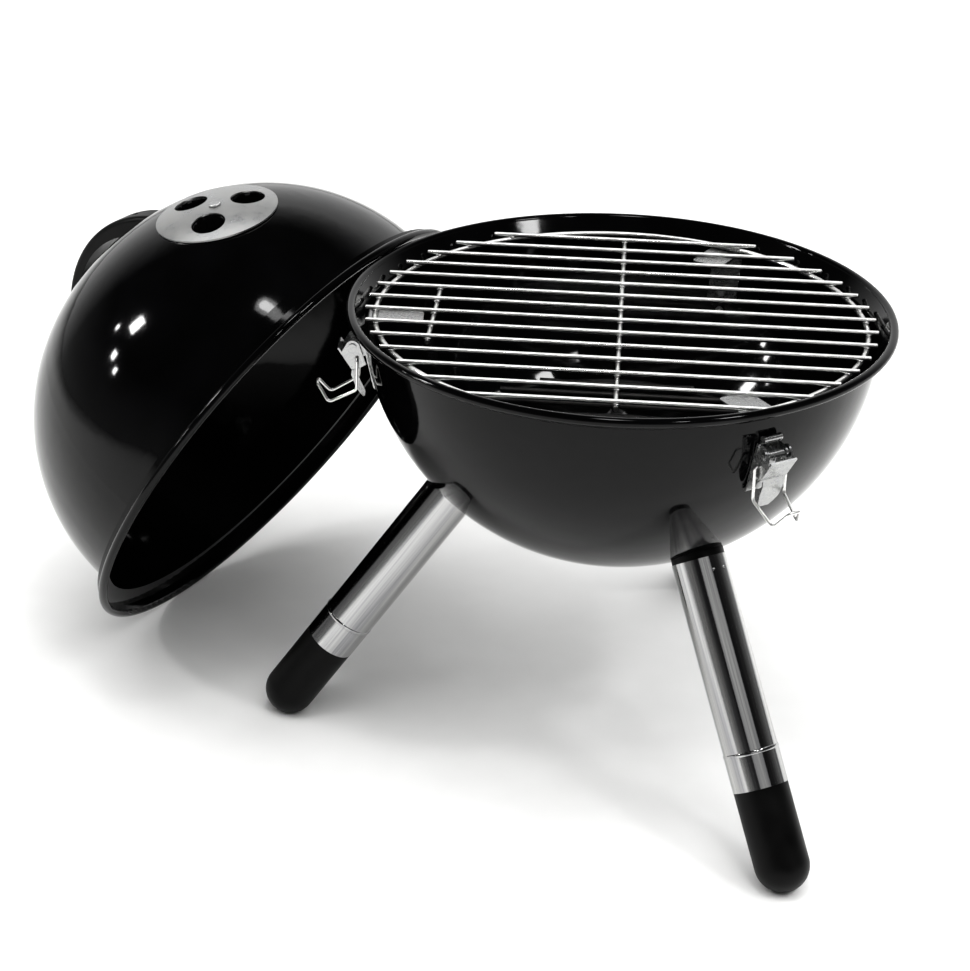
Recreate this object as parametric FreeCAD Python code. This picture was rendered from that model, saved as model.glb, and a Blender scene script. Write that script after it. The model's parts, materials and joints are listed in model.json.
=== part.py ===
"""Portable kettle charcoal grill on three splayed legs, lid off and leaning on the bowl.

Units are mm, +Z is up, the ground is z = 0 and the bowl's axis is the Z axis.
"""
import FreeCAD
import Part
import math
import os

# ---- driving dimensions ------------------------------------------------------------------
RIM_R = 174.0            # bowl rim: radius of the rolled bead's centre line
RIM_H = 312.0            # height of the rim bead's centre above the ground
BEAD_R = 3.0             # radius of the rolled beads on bowl and lid
SHEET = 1.2              # wall of the enamelled steel bowl and lid
RIM_FLARE = 7.5          # how far the bead's centre stands out from the bowl's sphere
SHOULDER = 8.0           # depth under the rim where the wall starts to flare
LEG_R = 17.6             # radius of the leg tubes and feet
LEG_TILT = 34.8          # splay of the legs from the vertical, degrees
LEG_POLAR = 38.5         # where a leg leaves the bowl, degrees from straight down
COLLAR_LEN = 2.4         # gap between the bowl and a leg tube, filled by the collar
FOOT_LEN = 50.0          # straight length of a foot, above its round end
FOOT_FLAT = 0.6          # depth of the small flat that the foot stands on
TUBE_WALL = 1.0
SWAGE_LEN = 23.0         # swaged lower end of a leg tube
SWAGE_STEP = 0.25
PLUG_LEN = 16.0          # plug of a collar inside its tube
FOOT_PLUG_LEN = 18.0
STATIONS = {"front": 33.35, "left": -86.65, "back": 153.35}   # latches, azimuth from -Y towards +X
LEG_STATIONS = {"front": 33.35, "left": -86.65, "back": 160.9}

BAR_R = 1.5              # radius of the cooking grate's bars
BAR_PITCH = 21.12        # spacing of the bars
BAR_INSET = 8.9          # bar ends, in from the rim bead's centre
BAR_DROP = 3.53          # bar centres, down from the rim bead's centre
RING_WIRE = 1.75         # radius of the ring wire under the bars
RING_INSET = 6.6         # ring wire, in from the bar ends
SHORT_WIRE_X = -120.0    # place of the short cross wire
COAL_WIRE = 2.0          # radius of the charcoal grate's wires
COAL_PITCH = 18.3

LID_FIT = 1.0            # clearance of the lid's skirt round the bowl's bead
LID_STEP = 13.7          # outward step from the dome's wall to the lid's bead centre
SKIRT_Z = 7.0            # height of the skirt above the bead's centre
STEP_RISE = 3.5          # height of the step above the skirt
SIDE_Z = 19.05           # height where the dome's wall is upright
CROWN_EXTRA = 24.5       # how much larger the crown's radius is than the shoulder's
CROWN_ANGLE = 24.06      # where the crown meets the shoulder, degrees from the axis
LID_AZ = 154.72          # plan direction in which the leaning lid's crown points

VENT_R = 43.0            # radius of the lid's damper disc
VENT_HOLE_R = 11.9
VENT_MARGIN = 7.4        # metal outside the damper's holes
VENT_POLAR = 53.9        # lid damper: angle of its axis from the lid's axis
VENT_AZ = 77.2           # lid damper: angle from the lid's own X axis
VENT_LIFT = 0.6          # clearance under the damper
VENT_SHEET = 1.1
VENT_RIVET_R = 2.5

DAMPER_R = 35.0          # radius of the bowl's damper disc
DAMPER_HOLE_R = 9.6
DAMPER_MARGIN = 3.1
DAMPER_LIFT = 0.6
DAMPER_SHEET = 1.2
DAMPER_RIVET_R = 3.0
THUMB_HALF = 7.0         # half width of the bowl damper's thumb tab
THUMB_DROP = 12.5
THUMB_SHEET = 1.6

HANDLE_RISE = 21.0       # top of the handle above the lid's crown
HANDLE_GRIP = 9.0        # thickness of the grip over the finger gap
HANDLE_HALF = 11.0       # half width of the handle
HANDLE_SPAN = 72.0       # half length of the handle
HANDLE_GAP = 44.0        # half length of the finger gap
HANDLE_SCREW_R = 2.0
HANDLE_ROUND = 4.0       # rounding of the handle's long edges

BOLT_R = 3.0             # leg bolts
BOLT_HEAD_R = 6.4
BOLT_HEAD_H = 3.4
BOLT_LEN = 27.0
NUT_R = 5.6
NUT_H = 5.0
NUT_DEPTH = 12.0         # nut seat, down the plug from the collar's end
RIVET_R = 1.6            # rivets of latches and brackets
RIVET_HEAD_R = 2.9
RIVET_TAIL_R = 2.7

BRACKET_HALF = 11.0      # half width of a grate bracket
BRACKET_TAIL = 5.0       # length of its leg under the rivet
BRACKET_REACH = 37.3     # length of its level tab
BRACKET_SHEET = 1.5
BRACKET_BEND = 1.0       # inner radius of its bend

LATCH_HALF = 9.3         # half width of a latch lever
LATCH_SHEET = 1.2
LATCH_DROP = 12.5        # middle of the latch plate, degrees under the rim plane
LATCH_SPACER = 0.9       # room between an ear and a cheek, filled by a washer
PIN_R = 1.7              # pivot pin
PIN_FIT = 0.05           # running clearance of a cheek on the pin
BAIL_R = 1.0             # radius of the bail's wire
BAIL_SIDE = 2.2          # bail legs, out from the lever's cheeks
RIVET_V = (-5.0, -18.2)  # rivets of a latch, up from the plate's middle
PIVOT_UV = (8.3, 9.46)   # latch pivot: off the bowl and up from the plate's middle
BAIL_UV = (6.93, 1.78)   # hole that the bail hangs in

GAP = 0.3                # clearance between pieces of different bodies
SEAT = 0.05              # clearance between seated pieces of one body
FIT = 0.1                # clearance of a plug in a tube

# ---- dimensions that follow --------------------------------------------------------------
BOWL_R = RIM_R - RIM_FLARE             # outer radius of the near-spherical bowl
BOWL_RI = BOWL_R - SHEET
PLUG_R = LEG_R - TUBE_WALL - FIT

BAR_REACH = RIM_R - BAR_INSET
BAR_Z = RIM_H - BAR_DROP
RING_R = BAR_REACH - RING_INSET
RING_Z = BAR_Z - BAR_R - RING_WIRE - 0.02
CROSS_Z = BAR_Z - 2.0 * BAR_R - 0.02
BAR_COUNT = 2 * int((RING_R - 12.0) / BAR_PITCH + 0.5)

BRACKET_TOP = RING_Z - RING_WIRE - GAP
LATCH_SIN = math.sin(math.radians(LATCH_DROP))
LATCH_COS = math.cos(math.radians(LATCH_DROP))
BRACKET_LOW = RIM_H - BOWL_R * LATCH_SIN + RIVET_V[0] * LATCH_COS - BRACKET_TAIL
BRACKET_FOOT = math.sqrt(BOWL_RI ** 2 - (RIM_H - BRACKET_LOW) ** 2 - BRACKET_HALF ** 2) - 0.15
BRACKET_BACK = math.sqrt(BOWL_RI ** 2 - (RIM_H - BRACKET_TOP) ** 2 - BRACKET_HALF ** 2) - 0.15
BRACKET_NOSE = BRACKET_BACK - BRACKET_REACH

COAL_R = BRACKET_NOSE - COAL_WIRE - 1.5                 # it lifts out between the brackets
COAL_Z = RIM_H - math.sqrt((BOWL_RI - COAL_WIRE - GAP) ** 2 - COAL_R ** 2)

LID_R = RIM_R + 2.0 * BEAD_R + LID_FIT                  # radius of the lid's bead centre line
SIDE_C = CROWN_EXTRA * math.sin(math.radians(CROWN_ANGLE))
SIDE_R = LID_R - LID_STEP - SIDE_C                      # shoulder arc of the dome
CROWN_R = SIDE_R + CROWN_EXTRA
CROWN_C = SIDE_Z - CROWN_EXTRA * math.cos(math.radians(CROWN_ANGLE))
TOUCH = 2.0 * BEAD_R + GAP                              # between the two beads' centres

VENT_PITCH_R = VENT_R - VENT_HOLE_R - VENT_MARGIN
VENT_DISH = SIDE_R + 0.5 * SIDE_C / math.sin(math.radians(VENT_POLAR))
DAMPER_PITCH_R = DAMPER_R - DAMPER_HOLE_R - DAMPER_MARGIN

CHEEK = (LATCH_HALF - LATCH_SHEET, LATCH_HALF)
EAR = (CHEEK[0] - LATCH_SPACER - LATCH_SHEET, CHEEK[0] - LATCH_SPACER)
PLATE_HALF = LATCH_HALF - 0.9
BAIL_HALF = LATCH_HALF + BAIL_SIDE


def vec(x, y, z):
    """Vector from three numbers."""
    return FreeCAD.Vector(x, y, z)


def line(a, b):
    """Straight edge."""
    return Part.LineSegment(a, b).toShape()


def arc(a, m, b):
    """Circular edge through three points."""
    return Part.Arc(a, m, b).toShape()


def closed_face(edges):
    """Face bounded by a list of edges that follow each other."""
    return Part.Face(Part.Wire(edges))


def polygon(points):
    """Flat face with straight sides."""
    return Part.Face(Part.makePolygon(list(points) + [points[0]]))


def spin(face):
    """Solid of revolution about the Z axis."""
    return face.revolve(vec(0, 0, 0), vec(0, 0, 1), 360)


def rod(a, b, r):
    """Round rod between two points."""
    d = b.sub(a)
    return Part.makeCylinder(r, d.Length, a, d)


def polar(cx, cz, r, degrees):
    """Point of a circle in the XZ plane."""
    a = math.radians(degrees)
    return vec(cx + r * math.cos(a), 0, cz + r * math.sin(a))


def at_station(shape, azimuth):
    """Turn a shape built with X outwards so that X points at an azimuth."""
    out = shape.copy()
    out.rotate(vec(0, 0, 0), vec(0, 0, 1), azimuth - 90.0)
    return out


def solids(shapes):
    """Separate solids kept together as one compound."""
    out = []
    for s in shapes:
        out.extend(s.Solids)
    return Part.makeCompound(out)


def wire_form(points, radii, r):
    """Round wire along a path of straight runs joined by tangent arcs."""
    n = len(points)
    edges = []
    last = points[0]
    for i in range(1, n - 1):
        a = points[i - 1].sub(points[i])
        b = points[i + 1].sub(points[i])
        a.normalize()
        b.normalize()
        turn = math.pi - a.getAngle(b)
        cut = radii[i - 1] * math.tan(turn / 2.0)
        p = points[i].add(a * cut)
        q = points[i].add(b * cut)
        mid = a.add(b)
        mid.normalize()
        back = radii[i - 1] / math.cos(turn / 2.0) - radii[i - 1]
        edges.append(line(last, p))
        edges.append(arc(p, points[i].add(mid * back), q))
        last = q
    edges.append(line(last, points[-1]))
    path = Part.Wire(edges)
    start = points[1].sub(points[0])
    ring = Part.Wire([Part.Circle(points[0], start, r).toShape()])
    body = path.makePipeShell([ring], True, True)
    if not body.Solids:
        body = Part.makeSolid(body)
    return body


# ---- bowl ---------------------------------------------------------------------------------
def bowl_face():
    """Half section of the bowl: sphere, flare and rolled bead."""
    z0 = RIM_H
    drop = SHOULDER
    ro = math.sqrt(BOWL_R ** 2 - drop ** 2)
    ri = math.sqrt(BOWL_RI ** 2 - drop ** 2)
    mo = polar(0, z0, BOWL_R, -45)
    mi = polar(0, z0, BOWL_RI, -45)
    a = polar(RIM_R, z0, BEAD_R, 225)
    m = polar(RIM_R, z0, BEAD_R, 15)
    b = polar(RIM_R, z0, BEAD_R, 165)
    lo = vec(0, 0, z0 - BOWL_R)
    li = vec(0, 0, z0 - BOWL_RI)
    po = vec(ro, 0, z0 - drop)
    pi = vec(ri, 0, z0 - drop)
    edges = [arc(lo, mo, po), line(po, a), arc(a, m, b), line(b, pi), arc(pi, mi, li), line(li, lo)]
    return closed_face(edges)


def leg_along():
    """Direction of a leg's axis, downwards, with X outwards."""
    t = math.radians(LEG_TILT)
    return vec(math.sin(t), 0, -math.cos(t))


def leg_point(s):
    """Point on a leg's axis at a distance from where it leaves the bowl."""
    p = math.radians(LEG_POLAR)
    start = vec(BOWL_R * math.sin(p), 0, RIM_H - BOWL_R * math.cos(p))
    return start.add(leg_along() * s)


def leg_reach():
    """Distance along the axis from the bowl to the centre of the foot's round end."""
    return (leg_point(0).z - (LEG_R - FOOT_FLAT)) / math.cos(math.radians(LEG_TILT))


def uv(u, v, t=0.0):
    """Point of a latch: u off the bowl, v up along the latch plate, t sideways."""
    x = (BOWL_R + u) * LATCH_COS + v * LATCH_SIN
    z = RIM_H - (BOWL_R + u) * LATCH_SIN + v * LATCH_COS
    return vec(x, t, z)


def bowl():
    """Bowl shell with vents, leg bolt holes and latch rivet holes."""
    shell = spin(bowl_face())
    cuts = []
    for k in range(3):
        a = math.radians(30 + 120 * k)
        base = vec(DAMPER_PITCH_R * math.cos(a), DAMPER_PITCH_R * math.sin(a), RIM_H - BOWL_R - 5)
        cuts.append(Part.makeCylinder(DAMPER_HOLE_R, 20, base, vec(0, 0, 1)))
    base = vec(0, 0, RIM_H - BOWL_R - 5)
    cuts.append(Part.makeCylinder(DAMPER_RIVET_R + SEAT, 20, base, vec(0, 0, 1)))
    hole = Part.makeCylinder(BOLT_R + 0.2, 12, leg_point(-6), leg_along())
    for az in LEG_STATIONS.values():
        cuts.append(at_station(hole, az))
    for az in STATIONS.values():
        for v in RIVET_V:
            cuts.append(at_station(rod(uv(-6, v), uv(3, v), RIVET_R + SEAT), az))
    return shell.cut(Part.makeCompound(cuts))


def bowl_damper():
    """Turning disc under the bowl's vents, with a bent thumb tab."""
    up = vec(0, 0, 1)
    centre = vec(0, 0, RIM_H)
    inner_r = BOWL_R + DAMPER_LIFT
    low = vec(0, 0, RIM_H - BOWL_R - 30)
    disc = Part.makeSphere(inner_r + DAMPER_SHEET, centre).cut(Part.makeSphere(inner_r, centre))
    disc = disc.common(Part.makeCylinder(DAMPER_R, 60, low, up))
    for k in range(3):
        a = math.radians(30 + 120 * k)
        side = vec(DAMPER_PITCH_R * math.cos(a), DAMPER_PITCH_R * math.sin(a), 0)
        disc = disc.cut(Part.makeCylinder(DAMPER_HOLE_R, 60, low.add(side), up))
    disc = disc.cut(Part.makeCylinder(DAMPER_RIVET_R + SEAT, 60, low, up))
    edge = RIM_H - math.sqrt((inner_r + 0.5 * DAMPER_SHEET) ** 2 - (DAMPER_R - 3.0) ** 2)
    corner = vec(-THUMB_HALF, DAMPER_R - 3.0, edge - THUMB_DROP)
    tab = Part.makeBox(2.0 * THUMB_HALF, THUMB_SHEET, THUMB_DROP + 0.5, corner)
    return disc.fuse(tab).removeSplitter()


def damper_rivet():
    """Rivet that holds the bowl damper, with a head on each side."""
    up = vec(0, 0, 1)
    z = RIM_H - BOWL_R
    low_top = z - DAMPER_LIFT - DAMPER_SHEET - 0.3
    low_head = Part.makeCylinder(2.0 * DAMPER_RIVET_R, 1.8, vec(0, 0, low_top - 1.8), up)
    high_z = z + SHEET + 0.15
    high_head = Part.makeCylinder(1.8 * DAMPER_RIVET_R, 1.6, vec(0, 0, high_z), up)
    shank = Part.makeCylinder(DAMPER_RIVET_R, high_z + 0.5 - low_top + 0.5, vec(0, 0, low_top - 0.5), up)
    return shank.fuse([low_head, high_head]).removeSplitter()


# ---- legs ---------------------------------------------------------------------------------
def leg_collar():
    """Moulded collar between the bowl and a leg tube, with a plug inside the tube."""
    along = leg_along()
    ring = Part.makeCylinder(LEG_R - 0.5, COLLAR_LEN + 4, leg_point(-4), along)
    plug = Part.makeCylinder(PLUG_R, PLUG_LEN, leg_point(COLLAR_LEN - 0.2), along)
    body = ring.fuse(plug)
    body = body.cut(Part.makeSphere(BOWL_R + SEAT, vec(0, 0, RIM_H)))
    body = body.cut(Part.makeCylinder(BOLT_R + FIT, 60, leg_point(-20), along))
    body = body.cut(Part.makeCylinder(NUT_R + 0.6, PLUG_LEN, leg_point(COLLAR_LEN + NUT_DEPTH), along))
    return body.removeSplitter()


def leg_tube():
    """Plated tube with a swaged lower end and two locating dimples near the top."""
    along = leg_along()
    top = COLLAR_LEN + SEAT
    end = leg_reach() - FOOT_LEN
    swage = end - SWAGE_LEN
    tube = Part.makeCylinder(LEG_R, end - top, leg_point(top), along)
    tube = tube.fuse(Part.makeCylinder(LEG_R + SWAGE_STEP, end - swage, leg_point(swage), along))
    tube = tube.cut(Part.makeCylinder(LEG_R - TUBE_WALL, end - top + 2, leg_point(top - 1), along))
    side = vec(math.cos(math.radians(LEG_TILT)), 0, math.sin(math.radians(LEG_TILT)))
    for lean in (-22.0, 6.0):
        out = FreeCAD.Rotation(along, lean).multVec(side)
        c = leg_point(top + 9.0).add(out * (LEG_R + 1.0))
        tube = tube.cut(Part.makeSphere(1.5, c))
    return tube.removeSplitter()


def leg_foot():
    """Moulded foot with a round end, a small flat on the ground and a plug in the tube."""
    along = leg_along()
    reach = leg_reach()
    top = reach - FOOT_LEN + SEAT
    body = Part.makeCylinder(LEG_R, reach - top, leg_point(top), along)
    body = body.fuse(Part.makeSphere(LEG_R, leg_point(reach)))
    body = body.fuse(Part.makeCylinder(PLUG_R, FOOT_PLUG_LEN + SEAT, leg_point(top - FOOT_PLUG_LEN), along))
    slab = Part.makeBox(400, 400, 40, vec(0, -200, -40))
    return body.cut(slab).removeSplitter()


def leg_bolts():
    """One domed bolt for each leg, head inside the bowl."""
    along = leg_along()
    lean = math.sin(math.radians(LEG_POLAR - LEG_TILT))
    seat = -SHEET - SEAT - BOLT_HEAD_R * abs(lean) - BOLT_HEAD_R ** 2 / (2.0 * BOWL_RI)
    shank = Part.makeCylinder(BOLT_R, BOLT_LEN + 0.5, leg_point(seat - 0.5), along)
    crown = leg_point(seat - BOLT_HEAD_H)
    head = Part.makeCylinder(BOLT_HEAD_R, BOLT_HEAD_H, crown, along)
    head = head.makeFillet(0.7 * BOLT_HEAD_H, [e for e in head.Edges if is_end_ring(e, crown, along)])
    one = shank.fuse(head).removeSplitter()
    return solids([at_station(one, az) for az in LEG_STATIONS.values()])


def is_end_ring(edge, point, along):
    """True for a circular edge in the plane through a point across a direction."""
    if edge.Curve.TypeId != "Part::GeomCircle":
        return False
    return abs(edge.Curve.Center.sub(point).dot(along)) < 0.01


def leg_nuts():
    """One nut for each leg bolt, in the pocket at the collar plug's end."""
    along = leg_along()
    s = COLLAR_LEN + NUT_DEPTH + FIT
    nut = Part.makeCylinder(NUT_R, NUT_H, leg_point(s), along)
    nut = nut.cut(Part.makeCylinder(BOLT_R + 0.02, NUT_H + 2, leg_point(s - 1), along))
    return solids([at_station(nut, az) for az in LEG_STATIONS.values()])


# ---- brackets -----------------------------------------------------------------------------
def bracket_inside():
    """A point on the inner face of a bracket's leaning leg, and that face's inward direction."""
    along = vec(BRACKET_BACK - BRACKET_FOOT, 0, BRACKET_TOP - BRACKET_LOW).normalize()
    inward = vec(-along.z, 0, along.x)
    return vec(BRACKET_FOOT, 0, BRACKET_LOW).add(inward * BRACKET_SHEET), inward, along


def bracket():
    """Bent strip inside the bowl that carries the cooking grate's ring."""
    start, _, along = bracket_inside()
    low = BRACKET_TOP - BRACKET_SHEET
    corner = start.add(along * ((low - start.z) / along.z))
    profile = [vec(BRACKET_FOOT, 0, BRACKET_LOW), vec(BRACKET_BACK, 0, BRACKET_TOP)]
    profile += [vec(BRACKET_NOSE, 0, BRACKET_TOP), vec(BRACKET_NOSE, 0, low), corner, start]
    body = polygon(profile).extrude(vec(0, 2 * BRACKET_HALF, 0))
    body.translate(vec(0, -BRACKET_HALF, 0))
    nose = [e for e in body.Edges if is_upright(e) and abs(e.BoundBox.XMax - BRACKET_NOSE) < 0.01]
    body = body.makeFillet(3.0, nose)
    body = body.makeFillet(BRACKET_BEND, [e for e in body.Edges if is_across(e, corner)])
    bend = profile[1]
    body = body.makeFillet(BRACKET_BEND + BRACKET_SHEET, [e for e in body.Edges if is_across(e, bend)])
    v = RIVET_V[0]
    return body.cut(rod(uv(-12, v), uv(0, v), RIVET_R + SEAT))


def is_across(edge, spot):
    """True for an edge that runs sideways through a spot of the bracket's profile."""
    box = edge.BoundBox
    return box.YLength > BRACKET_HALF and abs(box.XMin - spot.x) < 0.01 and abs(box.ZMin - spot.z) < 0.01


def is_upright(edge):
    """True for an edge that runs up and down."""
    return edge.BoundBox.ZLength > 1.0 and edge.BoundBox.YLength < 0.01


# ---- latches ------------------------------------------------------------------------------
def uv_prism(points, t0, t1):
    """Prism with a polygon in the latch's uv plane, from t0 to t1 sideways."""
    face = polygon([uv(u, v, t0) for u, v in points])
    return face.extrude(vec(0, t1 - t0, 0))


def uv_rod(point, t0, t1, r):
    """Rod across a latch."""
    return rod(uv(point[0], point[1], t0), uv(point[0], point[1], t1), r)


def latch_base():
    """Riveted base plate with two ears, a rolled top edge and a curled lower edge."""
    face, back = SEAT, SEAT + LATCH_SHEET
    low, top, waist = -21.5, 16.9, 13.5
    roll_r = 2.3
    roll_half = EAR[0] + 0.4
    plate = uv_prism([(face, low), (back, low), (back, top), (face, top)], -PLATE_HALF, PLATE_HALF)
    curl = uv_rod((-0.25, low - 0.1), -PLATE_HALF, PLATE_HALF, 1.1)
    curl = curl.cut(Part.makeSphere(BOWL_R + SEAT, vec(0, 0, RIM_H)))
    shoulder = [(-3, waist), (6, waist), (6, top + 5), (-3, top + 5)]
    body = plate.fuse(curl)
    body = body.cut(uv_prism(shoulder, roll_half, PLATE_HALF + 1))
    body = body.cut(uv_prism(shoulder, -PLATE_HALF - 1, -roll_half))
    ear = [(0.6, 1.0), (9.9, 6.2), (8.3, 13.0), (0.6, 13.4)]
    body = body.fuse(uv_rod((face + roll_r, top), -roll_half, roll_half, roll_r))
    for sign in (-1, 1):
        body = body.fuse(uv_prism(ear, sign * EAR[0], sign * EAR[1]))
        body = body.fuse(uv_rod(PIVOT_UV, sign * EAR[0], sign * EAR[1], 3.6))
    body = body.cut(uv_rod(PIVOT_UV, -2 * LATCH_HALF, 2 * LATCH_HALF, PIN_R + SEAT))
    for v in RIVET_V:
        body = body.cut(rod(uv(-6, v), uv(4, v), RIVET_R + SEAT))
    return body.removeSplitter()


def latch_pins():
    """Pivot pin of each latch, with a thick barrel and a head at each end."""
    side = LATCH_HALF + 0.15
    barrel = EAR[0] - 0.1
    pin = uv_rod(PIVOT_UV, -side - 0.6, side + 0.6, PIN_R)
    pin = pin.fuse(uv_rod(PIVOT_UV, -barrel, barrel, 2.35))
    for sign in (-1, 1):
        pin = pin.fuse(uv_rod(PIVOT_UV, sign * side, sign * (side + 0.8), 2.6))
    pin = pin.removeSplitter()
    return solids([at_station(pin, az) for az in STATIONS.values()])


def latch_washers():
    """Spacing washers between the ears and the lever's cheeks."""
    out = []
    for sign in (-1, 1):
        t0 = sign * (EAR[1] + SEAT)
        t1 = sign * (CHEEK[0] - 0.08)
        hole = uv_rod(PIVOT_UV, -2 * LATCH_HALF, 2 * LATCH_HALF, PIN_R + SEAT)
        ring = uv_rod(PIVOT_UV, t0, t1, 3.1).cut(hole)
        for az in STATIONS.values():
            out.append(at_station(ring, az))
    return solids(out)


def latch_rivets():
    """Two rivets for each latch: the upper one also holds the bracket inside the bowl."""
    out = []
    seat = SEAT + LATCH_SHEET + SEAT
    for v in RIVET_V:
        sag = (abs(v) + RIVET_TAIL_R) ** 2 / (2.0 * BOWL_R)
        inner = -SHEET - SEAT - sag
        if v == RIVET_V[0]:
            inner = bracket_depth(v) - SEAT
        shank = rod(uv(inner - 0.5, v), uv(seat + 0.5, v), RIVET_R)
        head = rod(uv(seat, v), uv(seat + 1.0, v), RIVET_HEAD_R)
        tail = rod(uv(inner - 1.5, v), uv(inner, v), RIVET_TAIL_R)
        one = shank.fuse([head, tail]).removeSplitter()
        out.extend(at_station(one, az) for az in STATIONS.values())
    return solids(out)


def bracket_depth(v):
    """Depth, as u, where the tail of the rivet at v meets the bracket's inner face."""
    start, inward, _ = bracket_inside()
    axis = vec(LATCH_COS, 0, -LATCH_SIN)
    share = axis.dot(inward)
    reach = start.sub(uv(0, v)).dot(inward) / share
    return reach - RIVET_TAIL_R * math.sqrt(1.0 / share ** 2 - 1.0)


def latch_lever():
    """Folded sheet lever: two cheeks on the pivot pin and a bent thumb tab."""
    path = [(18.1, 10.5), (12.2, -5.7), (13.7, -9.9), (12.5, -19.9), (10.0, -28.2)]
    inner = [(17.0, 10.9), (11.1, -5.3), (12.55, -9.8), (11.35, -19.6), (8.85, -27.8)]
    h = LATCH_HALF
    sheet = uv_prism(path + list(reversed(inner)), -h, h)
    half = [(h, 13), (h, -5.5), (h - 1.8, -7.0), (h - 1.8, -18.0), (0.6 * h, -24.5), (0.34 * h, -28.6)]
    outline = half + [(-a, b) for a, b in reversed(half)]
    mask = polygon([uv(-30, v, a) for a, v in outline])
    outwards = uv(1, 0).sub(uv(0, 0))
    body = sheet.common(mask.extrude(outwards * 80))
    cheek = [(3.9, 10.6), (2.3, -4.0), (7.1, -5.6), (11.6, -5.4), (16.2, 7.3), (11.4, 12.8)]
    for sign in (-1, 1):
        t0, t1 = sign * CHEEK[0], sign * CHEEK[1]
        body = body.fuse(uv_prism(cheek, t0, t1).fuse(uv_rod(PIVOT_UV, t0, t1, 4.6)))
    body = body.cut(uv_rod(PIVOT_UV, -2 * h, 2 * h, PIN_R + PIN_FIT))
    body = body.cut(uv_rod(BAIL_UV, -2 * h, 2 * h, BAIL_R + 0.55))
    return body.removeSplitter()


def latch_bail():
    """Closed wire hook hung in the lever's cheeks: two legs, an outward bend and a tip."""
    w = BAIL_HALF
    hole = (BAIL_UV[0] + 0.05, BAIL_UV[1] - 0.2)
    side = [
        uv(hole[0], hole[1], CHEEK[0] - 0.45),
        uv(hole[0], hole[1], w),
        uv(12.0, -19.5, w - 0.2),
        uv(32.4, -25.6, w - 2.6),
        uv(37.4, -12.9, 0.3 * w),
    ]
    mirror = [vec(p.x, -p.y, p.z) for p in reversed(side)]
    radii = [1.8, 4.0, 3.4, 2.6]
    return wire_form(side + mirror, radii + radii[::-1], BAIL_R)


# ---- cooking grate and charcoal grate --------------------------------------------------------
def grate_bars():
    """Parallel bars of the cooking grate, with softly rounded ends."""
    out = []
    for k in range(BAR_COUNT):
        y = (k - (BAR_COUNT - 1) / 2.0) * BAR_PITCH
        half = math.sqrt(BAR_REACH ** 2 - y ** 2)
        bar = Part.makeCylinder(BAR_R, 2 * half, vec(-half, y, BAR_Z), vec(1, 0, 0))
        ends = [e for e in bar.Edges if is_bar_end(e, y)]
        out.append(bar.makeFillet(0.6 * BAR_R, ends))
    return solids(out)


def is_bar_end(edge, y):
    """True for the circular rim at either end of a bar."""
    if edge.Curve.TypeId != "Part::GeomCircle":
        return False
    return abs(edge.Curve.Center.y - y) < 0.01


def grate_ring():
    """Round ring wire under the bars."""
    return Part.makeTorus(RING_R, RING_WIRE, vec(0, 0, RING_Z), vec(0, 0, 1))


def grate_cross_wires():
    """Long middle cross wire and a short one on the left, both under the bars."""
    reach = 0.5 * (BAR_COUNT - 1) * BAR_PITCH + 4.0
    long_wire = rod(vec(0, -reach, CROSS_Z), vec(0, reach, CROSS_Z), BAR_R)
    x = SHORT_WIRE_X
    low = vec(x, -2.5 * BAR_PITCH - 3.5, CROSS_Z)
    high = vec(x, 1.5 * BAR_PITCH + 3.5, CROSS_Z)
    short_wire = rod(low, high, BAR_R)
    return solids([long_wire, short_wire])


def charcoal_bars():
    """Bars of the lower grate that the charcoal lies on."""
    out = []
    count = 2 * int((COAL_R - 6) / COAL_PITCH) + 1
    for k in range(count):
        y = (k - (count - 1) / 2.0) * COAL_PITCH
        half = math.sqrt((COAL_R - 1.0) ** 2 - y ** 2)
        z = COAL_Z + 2 * COAL_WIRE + 0.02
        out.append(Part.makeCylinder(COAL_WIRE, 2 * half, vec(-half, y, z), vec(1, 0, 0)))
    return solids(out)


def charcoal_ring():
    """Ring of the charcoal grate, resting against the bowl's wall."""
    return Part.makeTorus(COAL_R, COAL_WIRE, vec(0, 0, COAL_Z), vec(0, 0, 1))


# ---- lid, built upright about its own axis ---------------------------------------------------
def lid_tilt():
    """Angle of the lid's axis from the vertical when its rim leans on the bowl's rim."""
    want = RIM_H - BEAD_R + 0.8 * TOUCH
    return math.asin(min(want / (2.0 * LID_R), 0.97))


def lid_matrix():
    """Placement of the leaning lid: on the ground below, against the bowl's bead above."""
    t = lid_tilt()
    a = math.radians(LID_AZ)
    n = vec(math.sin(t) * math.cos(a), math.sin(t) * math.sin(a), math.cos(t))
    e = vec(0, 0, 1).cross(n)
    e.normalize()
    g = n.cross(e)
    cz = BEAD_R + LID_R * math.sin(t)
    top = cz + LID_R * math.sin(t) - RIM_H
    reach = TOUCH
    if top > 0:
        reach = math.sqrt(max(TOUCH ** 2 - top ** 2, 0.0))
    out = RIM_R + reach + LID_R * math.cos(t)
    c = vec(out * math.cos(a), out * math.sin(a), cz)
    return FreeCAD.Matrix(e.x, g.x, n.x, c.x, e.y, g.y, n.y, c.y, e.z, g.z, n.z, c.z, 0, 0, 0, 1)


def on_lid(shape):
    """Move a shape from the lid's own frame to its leaning place."""
    out = shape.copy()
    out.Placement = FreeCAD.Placement(lid_matrix()).multiply(out.Placement)
    return out


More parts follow.
